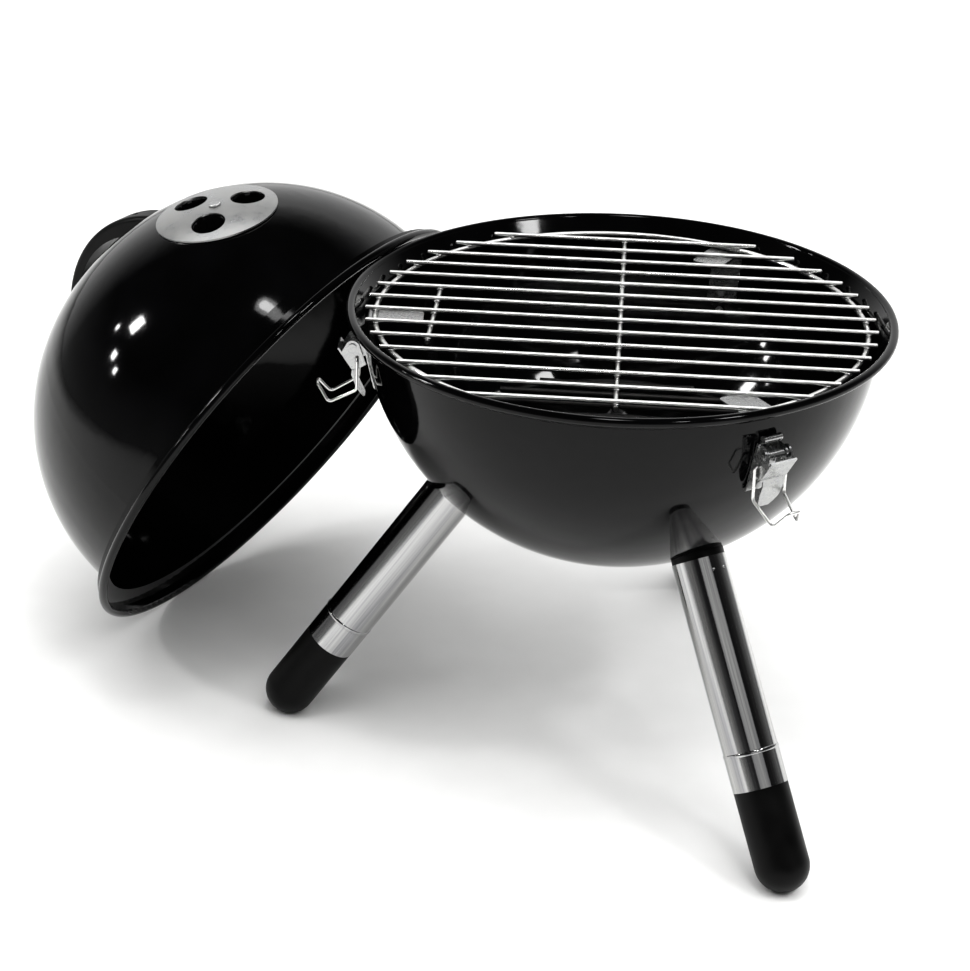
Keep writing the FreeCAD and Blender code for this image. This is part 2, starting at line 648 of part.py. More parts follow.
def dome_face(grow, solid):
    """Half section of the lid: outer offset by grow, hollow unless solid."""
    al = math.radians(CROWN_ANGLE)

    def crown(r, a):
        return vec(r * math.sin(a), 0, CROWN_C + r * math.cos(a))

    def side(r, a):
        return vec(SIDE_C + r * math.sin(a), 0, SIDE_Z + r * math.cos(a))

    ro, so = CROWN_R + grow, SIDE_R + grow
    mid = (al + math.pi / 2) / 2
    edges = [arc(crown(ro, 0), crown(ro, al / 2), crown(ro, al))]
    edges.append(arc(side(so, al), side(so, mid), side(so, math.pi / 2)))
    wall = SIDE_C + so
    if solid:
        edges.append(line(vec(wall, 0, SIDE_Z), vec(wall, 0, 0)))
        edges.append(line(vec(wall, 0, 0), vec(0, 0, 0)))
        edges.append(line(vec(0, 0, 0), crown(ro, 0)))
        return closed_face(edges)
    ri, si = ro - SHEET, so - SHEET
    step = SKIRT_Z + STEP_RISE
    skirt_i = LID_R - BEAD_R
    a = polar(LID_R, 0, BEAD_R, 125)
    skirt_o = a.x
    b = polar(LID_R, 0, BEAD_R, 180)
    m = polar(LID_R, 0, BEAD_R, -30)
    p = [vec(wall, 0, SIDE_Z), vec(wall, 0, step), vec(skirt_o, 0, SKIRT_Z), a]
    q = [b, vec(skirt_i, 0, SKIRT_Z - 1.0), vec(wall - SHEET, 0, step - 1.0), vec(wall - SHEET, 0, SIDE_Z)]
    edges += [line(p[0], p[1]), line(p[1], p[2]), line(p[2], p[3]), arc(a, m, b)]
    edges += [line(q[0], q[1]), line(q[1], q[2]), line(q[2], q[3])]
    edges.append(arc(side(si, math.pi / 2), side(si, mid), side(si, al)))
    edges.append(arc(crown(ri, al), crown(ri, al / 2), crown(ri, 0)))
    edges.append(line(crown(ri, 0), crown(ro, 0)))
    return closed_face(edges)


def vent_placement(lift):
    """Placement of the lid damper's own frame, Z along the lid's surface normal."""
    p = math.radians(VENT_POLAR)
    a = math.radians(VENT_AZ)
    r = SIDE_C + (SIDE_R + lift) * math.sin(p)
    c = vec(r * math.cos(a), r * math.sin(a), SIDE_Z + (SIDE_R + lift) * math.cos(p))
    turn = FreeCAD.Rotation(vec(0, 0, 1), VENT_AZ).multiply(FreeCAD.Rotation(vec(0, 1, 0), VENT_POLAR))
    return FreeCAD.Placement(c, turn)


def vent_holes(depth, r):
    """Three cylinders along the damper's axis, one of them towards the lid's crown."""
    out = []
    for k in range(3):
        a = math.radians(180 + 120 * k)
        base = vec(VENT_PITCH_R * math.cos(a), VENT_PITCH_R * math.sin(a), -depth)
        out.append(Part.makeCylinder(r, 2 * depth, base, vec(0, 0, 1)))
    return out


def handle_spots():
    """Distance of the two handle screws from the lid's axis."""
    middle = 0.5 * (HANDLE_SPAN + HANDLE_GAP)
    return (-middle, middle)


def lid_shell():
    """Lid: dome, outward step, skirt and rolled bead, with vents and screw holes."""
    shell = spin(dome_face(0.0, False))
    cuts = vent_holes(15, VENT_HOLE_R - 1.0)
    cuts.append(Part.makeCylinder(VENT_RIVET_R + SEAT, 30, vec(0, 0, -15), vec(0, 0, 1)))
    tool = Part.makeCompound(cuts)
    tool.Placement = vent_placement(0.0)
    shell = shell.cut(tool)
    for y in handle_spots():
        base = vec(0, y, dome_height(y) - 15)
        shell = shell.cut(Part.makeCylinder(HANDLE_SCREW_R + 0.3, 30, base, vec(0, 0, 1)))
    return on_lid(shell)


def lid_damper():
    """Domed damper disc on the lid, with three holes."""
    up = vec(0, 0, 1)
    low = vec(0, 0, -30)
    centre = vec(0, 0, -VENT_DISH)
    disc = Part.makeSphere(VENT_DISH + VENT_SHEET, centre).cut(Part.makeSphere(VENT_DISH, centre))
    disc = disc.common(Part.makeCylinder(VENT_R, 40, low, up))
    disc = disc.cut(Part.makeCompound(vent_holes(30, VENT_HOLE_R)))
    disc = disc.cut(Part.makeCylinder(VENT_RIVET_R + SEAT, 60, low, up))
    disc.Placement = vent_placement(VENT_LIFT)
    return on_lid(disc)


def lid_rivet():
    """Rivet of the lid damper, with a head on each side."""
    up = vec(0, 0, 1)
    head_r = 1.7 * VENT_RIVET_R
    seat = VENT_LIFT + VENT_SHEET + 0.1
    top = seat + 1.5
    tail_z = -SHEET - 0.3
    head = Part.makeCylinder(head_r, top - seat, vec(0, 0, seat), up)
    head = head.makeFillet(1.1, [e for e in head.Edges if is_end_ring(e, vec(0, 0, top), up)])
    tail = Part.makeCylinder(head_r, 1.2, vec(0, 0, tail_z - 1.2), up)
    shank = Part.makeCylinder(VENT_RIVET_R, seat + 0.5 - tail_z + 0.5, vec(0, 0, tail_z - 0.5), up)
    body = shank.fuse([head, tail]).removeSplitter()
    body.Placement = vent_placement(0.0)
    return on_lid(body)


def arc_top(half, z_end, z_top):
    """Edge of a shallow arch in the YZ plane."""
    return arc(vec(0, -half, z_end), vec(0, 0, z_top), vec(0, half, z_end))


def dome_height(y, grow=0.0):
    """Height of the lid's outer crown over a point on its Y axis."""
    return CROWN_C + math.sqrt((CROWN_R + grow) ** 2 - y ** 2)


def handle_profile(half, z_end, z_top, z_low):
    """Arched area in the YZ plane, flat below."""
    a, b = vec(0, half, z_end), vec(0, half, z_low)
    c, d = vec(0, -half, z_low), vec(0, -half, z_end)
    return closed_face([arc_top(half, z_end, z_top), line(a, b), line(b, c), line(c, d)])


def lid_handle():
    """Moulded arched handle across the crown, with a finger gap."""
    crown = CROWN_C + CROWN_R
    end = dome_height(HANDLE_SPAN) - 0.6
    base = end - 8.0
    body = handle_profile(HANDLE_SPAN, end, crown + HANDLE_RISE, base).extrude(vec(2 * HANDLE_HALF, 0, 0))
    body.translate(vec(-HANDLE_HALF, 0, 0))
    body = body.makeFillet(HANDLE_ROUND, [e for e in body.Edges if e.Curve.TypeId == "Part::GeomCircle"])
    gap_end = dome_height(HANDLE_GAP)
    gap = handle_profile(HANDLE_GAP, gap_end, crown + HANDLE_RISE - HANDLE_GRIP, base)
    gap = gap.extrude(vec(4 * HANDLE_HALF, 0, 0))
    gap.translate(vec(-2 * HANDLE_HALF, 0, 0))
    body = body.cut(gap)
    body = body.cut(spin(dome_face(SEAT, True)))
    for y in handle_spots():
        base = vec(0, y, dome_height(y) - 4)
        body = body.cut(Part.makeCylinder(HANDLE_SCREW_R + SEAT, 14, base, vec(0, 0, 1)))
    return on_lid(body.removeSplitter())


def handle_screws():
    """Two pan head screws, driven from inside the lid into the handle."""
    up = vec(0, 0, 1)
    head_r = 2.1 * HANDLE_SCREW_R
    out = []
    for y in handle_spots():
        inner = dome_height(abs(y) + head_r, -SHEET) - SEAT
        shank = Part.makeCylinder(HANDLE_SCREW_R, dome_height(y) + 7.5 - inner, vec(0, y, inner - 0.5), up)
        head = Part.makeCylinder(head_r, 2.4, vec(0, y, inner - 2.4), up)
        out.append(on_lid(shank.fuse(head).removeSplitter()))
    return solids(out)


def main():
    """Build every piece and write one STEP file for each node."""
    nodes = {
        "bowl_shell": bowl(),
        "bowl_damper": bowl_damper(),
        "damper_rivet": damper_rivet(),
        "leg_bolts": leg_bolts(),
        "leg_nuts": leg_nuts(),
        "latch_pins": latch_pins(),
        "latch_washers": latch_washers(),
        "latch_rivets": latch_rivets(),
        "grate_bars": grate_bars(),
        "grate_ring": grate_ring(),
        "grate_cross_wires": grate_cross_wires(),
        "charcoal_bars": charcoal_bars(),
        "charcoal_ring": charcoal_ring(),
        "lid_shell": lid_shell(),
        "lid_damper": lid_damper(),
        "lid_rivet": lid_rivet(),
        "lid_handle": lid_handle(),
        "handle_screws": handle_screws(),
    }
    repeated = {
        "leg_collar": leg_collar,
        "leg_tube": leg_tube,
        "leg_foot": leg_foot,
        "grate_bracket": bracket,
        "latch_base": latch_base,
        "latch_lever": latch_lever,
        "latch_bail": latch_bail,
    }
    for name, make in repeated.items():
        shape = make()
        places = LEG_STATIONS if name.startswith("leg_") else STATIONS
        for place, azimuth in places.items():
            nodes[name + "_" + place] = at_station(shape, azimuth)
    os.makedirs("parts", exist_ok=True)
    for name, shape in nodes.items():
        state = "valid" if shape.isValid() else "NOT VALID"
        box = shape.BoundBox
        low = "%.1f %.1f %.1f" % (box.XMin, box.YMin, box.ZMin)
        high = "%.1f %.1f %.1f" % (box.XMax, box.YMax, box.ZMax)
        print(name, state, "solids", len(shape.Solids), "volume %.1f" % shape.Volume, "box", low, "..", high)
        shape.exportStep("parts/" + name + ".step")


main()
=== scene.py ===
"""Finishes, weld beads, swage ridges and studio for a three-legged kettle charcoal grill.

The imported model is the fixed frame. Its pieces keep their shapes and get their finishes here,
and the small worked details that a solid model leaves out are added as surfaces computed with numpy.
Lengths are in metres, in the frame's own axes: Z is up and the ground is at zero.
"""

from __future__ import annotations

import json
import logging
import math
from dataclasses import dataclass, field
from enum import Enum

import bmesh
import bpy
import numpy as np
from mathutils import Matrix, Vector

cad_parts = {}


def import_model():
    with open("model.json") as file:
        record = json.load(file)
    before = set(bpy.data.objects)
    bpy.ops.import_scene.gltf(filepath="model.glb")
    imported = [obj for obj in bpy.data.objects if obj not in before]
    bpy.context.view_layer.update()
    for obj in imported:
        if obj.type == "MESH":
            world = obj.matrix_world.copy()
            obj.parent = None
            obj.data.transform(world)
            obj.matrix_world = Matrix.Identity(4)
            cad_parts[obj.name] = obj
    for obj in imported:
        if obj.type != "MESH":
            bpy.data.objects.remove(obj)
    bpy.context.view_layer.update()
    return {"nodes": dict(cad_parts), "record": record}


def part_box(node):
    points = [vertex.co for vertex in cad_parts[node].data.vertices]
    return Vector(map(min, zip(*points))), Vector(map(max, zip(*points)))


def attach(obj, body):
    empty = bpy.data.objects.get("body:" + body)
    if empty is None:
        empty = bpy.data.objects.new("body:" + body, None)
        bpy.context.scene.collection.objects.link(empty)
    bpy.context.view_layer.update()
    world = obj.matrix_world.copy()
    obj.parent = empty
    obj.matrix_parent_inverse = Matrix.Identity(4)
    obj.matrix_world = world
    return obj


LOG = logging.getLogger("kettle_grill")
MM = 0.001
MERGE_ROOM = 0.001 * MM
STILL = Vector((0.0, 0.0, 0.0))
EVEN = (1.0, 1.0, 1.0)
NOISE_ROUGHNESS = 0.55
NOISE_SPAN = (0.3, 0.7)         # nearly all of a noise's values lie between these
MIX_FIRST, MIX_SECOND, MIX_COLOUR = 6, 7, 2     # colour sockets of a mix node, by number
STATIONS = ("front", "left", "back")
RIM_BEAD_RADIUS = 3.0 * MM
BARE_METAL = ("grate_bars", "grate_ring", "grate_cross", "leg_tube_", "latch_", "lid_damper", "lid_rivet",
              "handle_screws", "bowl_damper")


# ---- helpers ------------------------------------------------------------------------------
def linear(colour: str) -> tuple[float, float, float, float]:
    """Turn an sRGB hex colour into linear light.

    Args:
        colour: Six hex digits after a hash sign.

    Returns:
        Red, green, blue and an alpha of one.
    """
    srgb = np.array([int(colour[i:i + 2], 16) for i in (1, 3, 5)]) / 255.0
    low, high = srgb / 12.92, ((srgb + 0.055) / 1.055) ** 2.4
    return (*np.where(srgb <= 0.04045, low, high).tolist(), 1.0)


def add(tree: bpy.types.NodeTree, kind: str, settings: dict | None = None,
        links: dict | None = None) -> bpy.types.Node:
    """Add a node with its settings and links.

    Args:
        tree: Node tree that takes the node.
        kind: Blender's type name of the node.
        settings: Properties of the node, or values of its input sockets, by name or number.
        links: Output sockets to join, by the name or number of this node's input.

    Returns:
        The new node.
    """
    made = tree.nodes.new(kind)
    for name, value in (settings or {}).items():
        if isinstance(name, int) or name in made.inputs:
            made.inputs[name].default_value = value
        else:
            setattr(made, name, value)
    for name, source in (links or {}).items():
        tree.links.new(source, made.inputs[name])
    return made


def new_material(name: str) -> tuple[bpy.types.Material, bpy.types.NodeTree]:
    """Make an empty node material.

    Args:
        name: Name of the finish.

    Returns:
        The material and its cleared node tree.
    """
    material = bpy.data.materials.new(name)
    material.use_nodes = True
    material.node_tree.nodes.clear()
    return material, material.node_tree


def close_material(tree: bpy.types.NodeTree, shader: bpy.types.Node) -> None:
    """Join a shader node to the material's output."""
    add(tree, "ShaderNodeOutputMaterial", links={"Surface": shader.outputs[0]})


def grain(tree: bpy.types.NodeTree, size: float, stretch: tuple[float, float, float], turn: Vector,
          detail: float = 2.0) -> bpy.types.NodeSocket:
    """Noise on object coordinates with a real grain size, turned and stretched along a direction.

    Args:
        tree: Node tree of the material.
        size: Width of a grain, in metres.
        stretch: How many grain widths a grain measures along each turned axis.
        turn: Euler angles that carry the piece's own axis onto Z.
        detail: Octaves of finer noise.

    Returns:
        The noise's output socket, with a value near 0.5.
    """
    place = add(tree, "ShaderNodeTexCoord")
    turned = add(tree, "ShaderNodeMapping", {"Rotation": turn}, {"Vector": place.outputs["Object"]})
    scale = tuple(1.0 / s for s in stretch)
    scaled = add(tree, "ShaderNodeMapping", {"Scale": scale}, {"Vector": turned.outputs["Vector"]})
    settings = {"Scale": 1.0 / size, "Detail": detail, "Roughness": NOISE_ROUGHNESS}
    return add(tree, "ShaderNodeTexNoise", settings, {"Vector": scaled.outputs["Vector"]}).outputs[0]


def two_tone(tree: bpy.types.NodeTree, pattern: bpy.types.NodeSocket, colours: tuple[str, str],
             span: tuple[float, float]) -> bpy.types.NodeSocket:
    """Let a pattern run between two colours.

    Args:
        tree: Node tree of the material.
        pattern: Output socket with the pattern's value.
        colours: Hex colours at the span's low and high end.
        span: Lowest and highest value of the pattern that count.

    Returns:
        The colour's output socket.
    """
    share = add(tree, "ShaderNodeMapRange", {"From Min": span[0], "From Max": span[1]}, {"Value": pattern})
    first, second = (linear(colour) for colour in colours)
    blend = add(tree, "ShaderNodeMix", {"data_type": "RGBA", MIX_FIRST: first, MIX_SECOND: second},
                {0: share.outputs["Result"]})
    return blend.outputs[MIX_COLOUR]


def colour_and_gloss(tree: bpy.types.NodeTree, pattern: bpy.types.NodeSocket, colours: tuple[str, str],
                     roughness: tuple[float, float], span: tuple[float, float]) -> dict:
    """Let one pattern vary a surface's colour and its gloss together.

    Args:
        tree: Node tree of the material.
        pattern: Output socket with the pattern's value.
        colours: Hex colours at the span's low and high end.
        roughness: Roughness at the span's low and high end.
        span: Lowest and highest value of the pattern that count.

    Returns:
        Links for a shader's colour and roughness inputs.
    """
    ends = {"From Min": span[0], "From Max": span[1], "To Min": roughness[0], "To Max": roughness[1]}
    gloss = add(tree, "ShaderNodeMapRange", ends, {"Value": pattern})
    return {"Base Color": two_tone(tree, pattern, colours, span), "Roughness": gloss.outputs["Result"]}


def dress(node: bpy.types.Object, material: bpy.types.Material) -> None:
    """Give every slot of a piece one finish."""
    node.data.materials.clear()
    node.data.materials.append(material)


def surface_object(name: str, points: np.ndarray, faces: np.ndarray,
                   material: bpy.types.Material) -> bpy.types.Object:
    """Make a smooth mesh object at the origin from whole arrays.

    Vertices in one place are merged, which closes seams and poles, and the faces then face outward.

    Args:
        name: Name of the piece.
        points: Vertices, one row of x, y, z each.
        faces: Vertex numbers, four to a row.
        material: Finish of the piece.

    Returns:
        The new object, linked to the scene.
    """
    mesh = bpy.data.meshes.new(name)
    mesh.from_pydata(points, [], faces.tolist())
    shape = bmesh.new()
    shape.from_mesh(mesh)
    bmesh.ops.remove_doubles(shape, verts=shape.verts, dist=MERGE_ROOM)
    bmesh.ops.recalc_face_normals(shape, faces=shape.faces)
    shape.to_mesh(mesh)
    shape.free()
    mesh.polygons.foreach_set("use_smooth", np.ones(len(mesh.polygons), bool))
    mesh.update()
    made = bpy.data.objects.new(name, mesh)
    bpy.context.scene.collection.objects.link(made)
    made.data.materials.append(material)
    return made


def clusters(values: np.ndarray, room: float) -> list[np.ndarray]:
    """Split numbers into groups that lie apart from each other.

    Args:
        values: Numbers to group.
        room: Smallest gap between two groups.

    Returns:
        For each group, a mask over the values, in rising order.
    """
    order = np.sort(values)
    cuts = 0.5 * (order[1:] + order[:-1])[np.diff(order) > room]
    group = np.searchsorted(cuts, values)
    return [group == k for k in range(len(cuts) + 1)]


def corners(node: bpy.types.Object) -> np.ndarray:
    """Vertices of a frame piece.

    Args:
        node: The piece.

    Returns:
        One row of x, y, z for each vertex.
    """
    flat = np.zeros(3 * len(node.data.vertices), np.float32)
    node.data.vertices.foreach_get("co", flat)
    return flat.reshape(-1, 3).astype(float)


# ---- finishes -----------------------------------------------------------------------------
class Grade(Enum):
    """How bright a plated or ground steel surface is left."""

    BRIGHT = "bright"
    SATIN = "satin"
    DULL = "dull"


@dataclass(frozen=True)
class VitreousEnamel:
    """Black vitreous enamel, fired on steel: deep gloss with a faint orange peel."""

    name: str = "vitreous_enamel_fired_black"
    colour_low: str = "#030303"
    colour_high: str = "#070708"
    roughness: tuple[float, float] = (0.045, 0.085)
    cloud: float = 45.0 * MM
    peel: float = 7.0 * MM
    peel_relief: float = 0.09
    peel_depth: float = 0.25 * MM
    speck: float = 1.2 * MM
    speck_relief: float = 0.03
    speck_depth: float = 0.05 * MM
    index: float = 1.5
    specular: float = 0.25

    def build(self) -> bpy.types.Material:
        """Build the enamel: the peel bends highlights a little, the specks dull them in places.

        Returns:
            The finished material.
        """
        material, tree = new_material(self.name)
        cloud = grain(tree, self.cloud, EVEN, STILL)
        peel = grain(tree, self.peel, EVEN, STILL, 1.0)
        speck = grain(tree, self.speck, EVEN, STILL, 3.0)
        wavy = add(tree, "ShaderNodeBump", {"Strength": self.peel_relief, "Distance": self.peel_depth},
                   {"Height": peel})
        bump = add(tree, "ShaderNodeBump", {"Strength": self.speck_relief, "Distance": self.speck_depth},
                   {"Height": speck, "Normal": wavy.outputs["Normal"]})
        links = colour_and_gloss(tree, cloud, (self.colour_low, self.colour_high), self.roughness, NOISE_SPAN)
        settings = {"IOR": self.index, "Specular IOR Level": self.specular, "Metallic": 0.0}
        shader = add(tree, "ShaderNodeBsdfPrincipled", settings, {**links, "Normal": bump.outputs["Normal"]})
        close_material(tree, shader)
        return material


@dataclass(frozen=True)
class DrawnSteel:
    """Metal drawn, rolled or ground one way: fine lines along the piece and clouded gloss."""

    name: str
    dark: str
    light: str
    grade: Grade
    line: float = 0.5 * MM
    stretch: float = 60.0
    cloud: float = 14.0 * MM
    cloud_stretch: float = 4.0
    relief: float = 0.05
    depth: float = 0.03 * MM
    line_share: float = 0.5
    span: tuple[float, float] = (0.5, 1.0)
    turn: Vector = field(default_factory=STILL.copy)

    def roughness(self) -> tuple[float, float]:
        """Lowest and highest roughness, by the grade."""
        table = {Grade.BRIGHT: (0.08, 0.17), Grade.SATIN: (0.24, 0.36), Grade.DULL: (0.42, 0.62)}
        return table[self.grade]

    def build(self) -> bpy.types.Material:
        """Build the metal: lines break the gloss up along the piece, clouds vary it slowly.

        Returns:
            The finished material.
        """
        material, tree = new_material(self.name)
        lines = grain(tree, self.line, (1, 1, self.stretch), self.turn, 3.0)
        cloud = grain(tree, self.cloud, (1, 1, self.cloud_stretch), self.turn)
        both = add(tree, "ShaderNodeMath", {"operation": "MULTIPLY_ADD", 1: self.line_share},
                   {0: lines, 2: cloud})
        links = colour_and_gloss(tree, both.outputs[0], (self.dark, self.light), self.roughness(), self.span)
        bump = add(tree, "ShaderNodeBump", {"Strength": self.relief, "Distance": self.depth},
                   {"Height": lines})
        shader = add(tree, "ShaderNodeBsdfPrincipled", {"Metallic": 1.0},
                     {**links, "Normal": bump.outputs["Normal"]})
        close_material(tree, shader)
        return material


@dataclass(frozen=True)
class ZincPlate:
    """Zinc plated and clear passivated sheet: pale grey, with a fine crystal mottle."""

    name: str
    dark: str = "#A6A7A9"
    light: str = "#BCBCBA"
    crystal: float = 1.6 * MM
    roughness: tuple[float, float] = (0.24, 0.33)
    fine: float = 0.35 * MM
    crystal_share: float = 0.35
    span: tuple[float, float] = (0.35, 1.0)
    relief: float = 0.04
    depth: float = 0.03 * MM

    def build(self) -> bpy.types.Material:
        """Build the plating: each crystal has a slightly different shade and gloss.

        Returns:
            The finished material.
        """
        material, tree = new_material(self.name)
        place = add(tree, "ShaderNodeTexCoord")
        cells = add(tree, "ShaderNodeTexVoronoi", {"Scale": 1.0 / self.crystal, "Randomness": 1.0},
                    {"Vector": place.outputs["Object"]})
        tone = add(tree, "ShaderNodeSeparateColor", links={"Color": cells.outputs["Color"]})
        fine = grain(tree, self.fine, EVEN, STILL, 3.0)
        both = add(tree, "ShaderNodeMath", {"operation": "MULTIPLY_ADD", 1: self.crystal_share},
                   {0: tone.outputs[0], 2: fine})
        links = colour_and_gloss(tree, both.outputs[0], (self.dark, self.light), self.roughness, self.span)
        bump = add(tree, "ShaderNodeBump", {"Strength": self.relief, "Distance": self.depth},
                   {"Height": fine})
        shader = add(tree, "ShaderNodeBsdfPrincipled", {"Metallic": 1.0},
                     {**links, "Normal": bump.outputs["Normal"]})
        close_material(tree, shader)
        return material


@dataclass(frozen=True)
class MouldedPlastic:
    """Black heat resistant plastic from a spark-eroded mould: satin, with a fine pebble."""

    name: str
    colour_low: str = "#060606"
    colour_high: str = "#0E0E0E"
    pebble: float = 0.9 * MM
    roughness: tuple[float, float] = (0.34, 0.48)
    cloud: float = 22.0 * MM
    relief: float = 0.22
    depth: float = 0.06 * MM
    index: float = 1.49
    specular: float = 0.16

    def build(self) -> bpy.types.Material:
        """Build the plastic: the pebble is drawn a little coarser than real, so that it shows.

        Returns:
            The finished material.
        """
        material, tree = new_material(self.name)
        pebble = grain(tree, self.pebble, EVEN, STILL)
        cloud = grain(tree, self.cloud, EVEN, STILL)
        bump = add(tree, "ShaderNodeBump", {"Strength": self.relief, "Distance": self.depth},
                   {"Height": pebble})
        links = colour_and_gloss(tree, cloud, (self.colour_low, self.colour_high), self.roughness, NOISE_SPAN)
        settings = {"IOR": self.index, "Specular IOR Level": self.specular, "Metallic": 0.0}
        shader = add(tree, "ShaderNodeBsdfPrincipled", settings, {**links, "Normal": bump.outputs["Normal"]})
        close_material(tree, shader)
        return material


# ---- sub-assemblies -----------------------------------------------------------------------
@dataclass
class Bowl:
    """Enamelled bowl with its damper, brackets and rivets."""

    nodes: dict[str, bpy.types.Object]
    enamel: bpy.types.Material
    zinc: bpy.types.Material
    fastener: bpy.types.Material
    vent: bpy.types.Material

    def build(self) -> None:
        """Give the bowl's pieces their finishes."""
        dress(self.nodes["bowl_shell"], self.enamel)
        dress(self.nodes["bowl_damper"], self.vent)
        dress(self.nodes["damper_rivet"], self.fastener)
        dress(self.nodes["latch_rivets"], self.fastener)
        for place in STATIONS:
            dress(self.nodes["grate_bracket_" + place], self.zinc)


@dataclass
class Legs:
    """Three splayed tubes with moulded collars and feet."""

    nodes: dict[str, bpy.types.Object]
    plastic: bpy.types.Material
    fastener: bpy.types.Material
    foot_spots: dict[str, Vector]
    line: float = 0.8 * MM
    line_stretch: float = 120.0
    cloud: float = 5.0 * MM
    cloud_stretch: float = 70.0
    tube_radius: float = 17.6 * MM
    ball_height: float = 17.0 * MM
    swage_from_ball: float = 73.0 * MM
    splay: float = math.radians(34.8)
    ridge_half_length: float = 1.4 * MM
    ridge_height: float = 0.5 * MM
    around: int = 72
    section: int = 10
    ridges: list[bpy.types.Object] = field(default_factory=list)

    def axis(self, place: str) -> Vector:
        """Direction of a leg's axis, from its foot up to the bowl.

        Args:
            place: Which leg.

        Returns:
            A vector of length one that leans inwards by the leg's splay.
        """
        spot = self.foot_spots[place]
        outwards = Vector((spot.x, spot.y, 0.0)).normalized()
        return Vector((0.0, 0.0, math.cos(self.splay))) - outwards * math.sin(self.splay)

    def swage_ridge(self, place: str, material: bpy.types.Material) -> bpy.types.Object:
        """Rolled ridge round a tube, where its swaged lower end begins.

        The surface is m + s k sin(v) + (R + h cos(v)) (p cos(u) + q sin(u)). Here m is the middle of
        the ring, s the leg's axis, p and q two directions across it, k the ridge's half length, h its
        height and R the tube's radius. The angle u runs round the tube and v round the section.

        Args:
            place: Which leg.
            material: Finish of the tube.

        Returns:
            The ridge, riding the stand.
        """
        axis = self.axis(place)
        across = axis.cross(Vector((0.0, 0.0, 1.0))).normalized()
        ball = self.foot_spots[place] + Vector((0.0, 0.0, self.ball_height))
        middle = ball + axis * self.swage_from_ball
        s, p, q = np.array(axis), np.array(across), np.array(axis.cross(across))
        u = np.linspace(0, 2 * math.pi, self.around, endpoint=False)[:, None, None]
        v = np.linspace(0, 2 * math.pi, self.section, endpoint=False)[None, :, None]
        out = p * np.cos(u) + q * np.sin(u)
        reach = self.tube_radius + self.ridge_height * np.cos(v)
        points = np.array(middle) + s * self.ridge_half_length * np.sin(v) + reach * out
        row, col = np.meshgrid(np.arange(self.around), np.arange(self.section), indexing="ij")
        here, ahead = row * self.section, (row + 1) % self.around * self.section
        side = (col + 1) % self.section
        faces = np.stack((here + col, ahead + col, ahead + side, here + side), axis=-1).reshape(-1, 4)
        made = surface_object("swage_ridge_" + place, points.reshape(-1, 3), faces, material)
        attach(made, "stand")
        return made

    def tube_finish(self, place: str) -> bpy.types.Material:
        """Polished stainless finish: bright, with faint draw lines that run along one leg.

        Args:
            place: Which leg.

        Returns:
            The material of that leg's tube.
        """
        turn = self.axis(place).rotation_difference(Vector((0.0, 0.0, 1.0))).to_euler()
        finish = DrawnSteel("stainless_tube_polished_" + place, "#8E8E91", "#D2D2D0", Grade.BRIGHT,
                            line=self.line, stretch=self.line_stretch, cloud=self.cloud,
                            cloud_stretch=self.cloud_stretch, turn=Vector(turn))
        return finish.build()

    def build(self) -> None:
        """Give each leg's tube, collar and foot its finish, and each tube its ridge."""
        for place in STATIONS:
            polished = self.tube_finish(place)
            dress(self.nodes["leg_tube_" + place], polished)
            self.ridges.append(self.swage_ridge(place, polished))
            dress(self.nodes["leg_collar_" + place], self.plastic)
            dress(self.nodes["leg_foot_" + place], self.plastic)
        dress(self.nodes["leg_bolts"], self.fastener)
        dress(self.nodes["leg_nuts"], self.fastener)


@dataclass
class Latches:
    """Three draw latches: base plate, lever, pin, washers and wire hook."""

    nodes: dict[str, bpy.types.Object]
    zinc: bpy.types.Material
    wire: bpy.types.Material

    def build(self) -> None:
        """Give the latches' pieces their finishes."""
        for place in STATIONS:
            dress(self.nodes["latch_base_" + place], self.zinc)
            dress(self.nodes["latch_lever_" + place], self.zinc)
            dress(self.nodes["latch_bail_" + place], self.wire)
        dress(self.nodes["latch_pins"], self.zinc)
        dress(self.nodes["latch_washers"], self.zinc)


